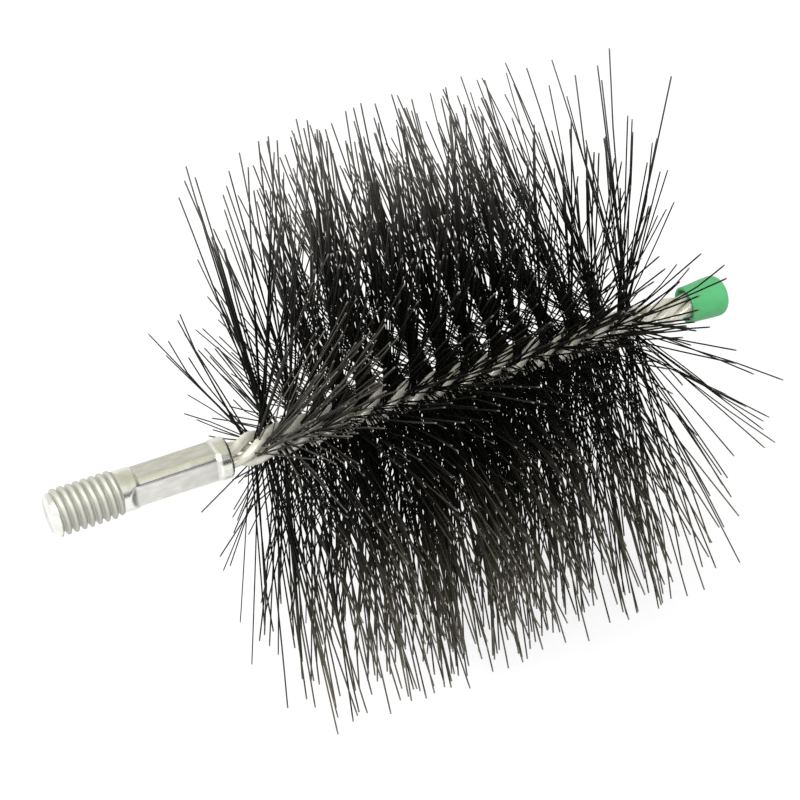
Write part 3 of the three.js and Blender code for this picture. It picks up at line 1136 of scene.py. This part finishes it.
def strand_length(tree, given, out_z, root_z):
    """The way to the strand's tip, or to the floor if that comes first."""
    wanted = minus(tree, recall(tree, "tip"), given["Root Radius"])
    down = larger(tree, times(tree, out_z, -1.0), LEAST_FALL)
    room = over(tree, minus(tree, root_z, given["Floor"]), down)
    return smaller(tree, wanted, absolute(tree, room))


def bend_lines(tree, lines, given):
    """Moves each point to its place on a leaning, fanned and slightly bent strand."""
    along = recall(tree, "along")
    angle = plus(tree, recall(tree, "turn"), recall(tree, "fan"))
    out_y, out_z = polar(tree, angle, 1.0)
    root_y, root_z = polar(tree, recall(tree, "turn"), given["Root Radius"], recall(tree, "spread"))
    root = arrow(tree, recall(tree, "station"), root_y, root_z)
    direction = unit(tree, arrow(tree, tangent(tree, recall(tree, "lean")), out_y, out_z))
    reach = times(tree, strand_length(tree, given, out_z, root_z), along)
    place = combine(tree, "ADD", root, combine(tree, "SCALE", direction, reach))
    bowed = times(tree, along, along)
    past = larger(tree, minus(tree, along, KINK_START), 0.0)
    kinked = times(tree, over(tree, past, 1 - KINK_START), recall(tree, "kink"))
    kink_along, kink_across = polar(tree, recall(tree, "kink_turn"), kinked)
    shift_along = times_plus(tree, bowed, recall(tree, "bow_along"), kink_along)
    shift_across = times_plus(tree, bowed, recall(tree, "bow_across"), kink_across)
    across_y, across_z = polar(tree, angle, 0.0, 1.0)
    aside = combine(tree, "SCALE", arrow(tree, 0.0, across_y, across_z), shift_across)
    place = combine(tree, "ADD", place, arrow(tree, shift_along, 0.0, 0.0))
    place = combine(tree, "ADD", place, aside)
    return step(tree, "GeometryNodeSetPosition", {"Geometry": lines, "Position": place})


# %% [markdown]
# The last part sweeps a small square section along every strand. A round one would show no
# rounder at this size, and it would have several times the faces. Each of the four rows then
# grows from a seed of its own.

# %% Grow the bristles
BRISTLE_SIDES = 4
FIRST_SEED = 101
SEED_STEP = 1000


def bristle_tree():
    """Points, lines, bends and thickness of one row of bristles."""
    tree, given = new_tree("bristle_row", bristle_sizes)
    lines = strand_lines(tree, strand_points(tree, given))
    bent = bend_lines(tree, lines, given)
    end_tree(tree, bent, BRISTLE_SIDES, given["Strand Diameter"], given["Material"])
    return tree


def grow_bristles():
    """Four rows, one in each groove, every one with a seed of its own."""
    tree = bristle_tree()
    for row in range(ROWS):
        seed = FIRST_SEED + SEED_STEP * row
        sizes = {**bristle_sizes, "Groove Angle": row * QUARTER, "Seed": seed}
        bristles = grow("spring_bristles_%d" % (row + 1), tree, sizes)
        hand_over(bristles, "bristle_row_%d" % (row + 1))


grow_bristles()

# %% [markdown]
# ## The tip cap
# The cap keeps the cut ends of the core from scratching. It is a moulded cup with a rolled lip, a
# slight belly and a rounded end. A profile spun round the core makes it, with the wall's inside
# as well, because the cup is open where the core enters. The profile runs from the middle of the
# round end to the middle of the inside, and it is spun in reverse, which turns the faces outwards.

# %% Build the cap
CAP_MOUTH = cap_low.x
CAP_END = cap_high.x
CAP_INNER = 3.982 * MM
CAP_MOUTH_INNER = 4.482 * MM
CAP_LEAD_LENGTH = 4.0 * MM
CAP_WALL = 0.85 * MM
CAP_BELLY = 5.882 * MM
CAP_DOME = 3.0 * MM
CAP_DOME_POWER = 0.7
CAP_FLOOR = CAP_END - 1.8 * MM
CAP_CORNER_LENGTH = 1.0 * MM
CAP_CORNER_DEPTH = 0.5 * MM
CAP_DOME_STEPS = 16
CAP_SIDE_STEPS = 8
CAP_LIP_STEPS = 8
CAP_LINES = 72


def cap_profile():
    """Points [x, r] from the middle of the round end, over the lip and down the inside."""
    profile = [(CAP_END, 0)]
    for i in range(1, CAP_DOME_STEPS + 1):
        turn = QUARTER * (1 - i / CAP_DOME_STEPS)
        x = CAP_END - CAP_DOME * (1 - math.sin(turn))
        profile.append((x, CAP_BELLY * math.cos(turn) ** CAP_DOME_POWER))
    mouth = CAP_MOUTH_INNER + CAP_WALL
    length = CAP_END - CAP_DOME - CAP_MOUTH
    for i in range(1, CAP_SIDE_STEPS):
        share = i / CAP_SIDE_STEPS
        ease = share * share * (3 - 2 * share)
        profile.append((CAP_END - CAP_DOME - length * share, CAP_BELLY + (mouth - CAP_BELLY) * ease))
    half = CAP_WALL / 2
    for i in range(CAP_LIP_STEPS + 1):
        turn = FULL_TURN / 2 * i / CAP_LIP_STEPS
        r = CAP_MOUTH_INNER + half * (1 + math.cos(turn))
        profile.append((CAP_MOUTH + half * (1 - math.sin(turn)), r))
    profile.append((CAP_MOUTH + CAP_LEAD_LENGTH, CAP_INNER))
    profile.append((CAP_FLOOR - CAP_CORNER_LENGTH, CAP_INNER))
    profile.append((CAP_FLOOR, CAP_INNER - CAP_CORNER_DEPTH))
    profile.append((CAP_FLOOR, 0))
    return profile


def build_cap():
    """The profile, spun round the core."""
    turns = [FULL_TURN * i / CAP_LINES for i in range(CAP_LINES)]
    profile = cap_profile()[::-1]
    return mesh_object("moulded_cap", *wrap([profile] * CAP_LINES, turns))


cap = build_cap()
finish_mesh(cap)
cap.data.materials.append(green)
hand_over(cap, "tip_cap")

# %% [markdown]
# ## Floor and world
# The brush lies on white paper, a plain pale sheet under the lowest tips. To the camera it glows
# just enough to come out white, and it still takes the brush's soft shadow. The world lights the
# brush evenly, white near the horizon and a little darker and warmer higher up, which gives the
# plated metal something to mirror. To the camera and in mirror images the world is brighter than
# its own light, so the background comes out white and the colours of the brush don't wash out.

# %% Floor and world
FLOOR_SIZE = 6.0
PAPER_GLOW = 0.77
PAPER_COLOUR = (0.42, 0.415, 0.42, 1)
PAPER_WHITE = (0.98, 0.985, 1, 1)
WORLD_LEVEL = 0.55
HORIZON_WHITE = (1, 1, 1, 1)
UPPER_WARM = (0.74, 0.73, 0.62, 1)
DIMMING_START = 0.25
DIMMING_END = 0.75


def background_ray(tree):
    """One where a ray comes from the camera or a reflection, which see the background itself."""
    path = add_node(tree, "ShaderNodeLightPath").outputs
    direct = larger(tree, path["Is Camera Ray"], path["Is Glossy Ray"])
    return larger(tree, direct, path["Is Transmission Ray"])


def stage_sheet(name, finish, points):
    """A flat sheet that belongs to the studio, with the tree and the shader of its finish."""
    sheet = mesh_object(name, points, [(0, 1, 2, 3)])
    material, tree, shader = new_finish(finish)
    sheet.data.materials.append(material)
    return sheet, tree, shader


def paper_floor():
    """A pale sheet that is white to the camera where no shadow falls."""
    corners = [(-1, -1), (1, -1), (1, 1), (-1, 1)]
    points = [(x * FLOOR_SIZE / 2, y * FLOOR_SIZE / 2, floor_height) for x, y in corners]
    sheet, tree, shader = stage_sheet("paper_floor", "white_paper", points)
    fill(tree, shader, {
        "Base Color": PAPER_COLOUR,
        "Roughness": 0.9,
        "Specular IOR Level": 0.1,
        "Emission Color": PAPER_WHITE,
        "Emission Strength": times(tree, background_ray(tree), PAPER_GLOW),
    })


def white_world():
    """An even world, white as a background and a little lower as light."""
    world = bpy.data.worlds.new("studio")
    bpy.context.scene.world = world
    world.use_nodes = True
    tree = world.node_tree
    dimming = ramp_between(tree, part_of(tree, object_place(tree), "Z"), DIMMING_START, DIMMING_END)
    fill(tree, tree.nodes["Background"], {
        "Strength": rescale(tree, background_ray(tree), WORLD_LEVEL, 1.0),
        "Color": blend_colours(tree, dimming, HORIZON_WHITE, UPPER_WARM, start=0.0, end=1.0),
    })


paper_floor()
white_world()
print("floor at %.1f mm" % (floor_height / MM))

# %% [markdown]
# ## Lamps and a dark card
# Two lamps give the brush its shape: a large one behind on the left, and a small weak one in
# front that fills the shade. Polished metal also shows what stands round it. Far in front of the
# brush the paper ends and the dark room begins, which draws the dark lines along the fitting's
# lower edges. A black card does that here. It is seen in reflections only, so it shades nothing.

# %% Lamps and card
LAMPS = {
    "key_lamp": {"place": (-1.2, -0.1, 0.95), "size": 0.9, "power": 16, "colour": (1.0, 0.985, 0.96)},
    "fill_lamp": {"place": (-0.15, -0.75, 0.80), "size": 0.35, "power": 5, "colour": (1.0, 0.99, 0.97)},
}
CARD_FRONT = -1200 * MM
CARD_WIDTH = 700 * MM
CARD_TOP = 450 * MM
CARD_BLACK = (0.02, 0.02, 0.03, 1)


def soft_lamp(name, place, size, power, colour):
    """A square lamp that faces the middle of the brush."""
    data = bpy.data.lights.new(name, "AREA")
    data.shape = "SQUARE"
    data.size = size
    data.energy = power
    data.color = colour
    lamp = bpy.data.objects.new(name, data)
    lamp.location = place
    lamp.rotation_euler = (CAMERA_AIM - Vector(place)).to_track_quat("-Z", "Y").to_euler()
    bpy.context.scene.collection.objects.link(lamp)


def black_card():
    """An upright card in front of the brush that only reflections see."""
    corners = [(0, floor_height), (CARD_WIDTH, floor_height), (CARD_WIDTH, CARD_TOP), (0, CARD_TOP)]
    points = [(x, CARD_FRONT, z) for x, z in corners]
    card, tree, shader = stage_sheet("black_card", "black_card", points)
    fill(tree, shader, {"Base Color": CARD_BLACK, "Roughness": 1.0})
    for rays in ("camera", "diffuse", "shadow", "transmission"):
        setattr(card, "visible_" + rays, False)


black_card()
for name, values in LAMPS.items():
    soft_lamp(name, **values)
bpy.context.scene.view_settings.view_transform = "Standard"
print("lamps:", ", ".join(LAMPS))
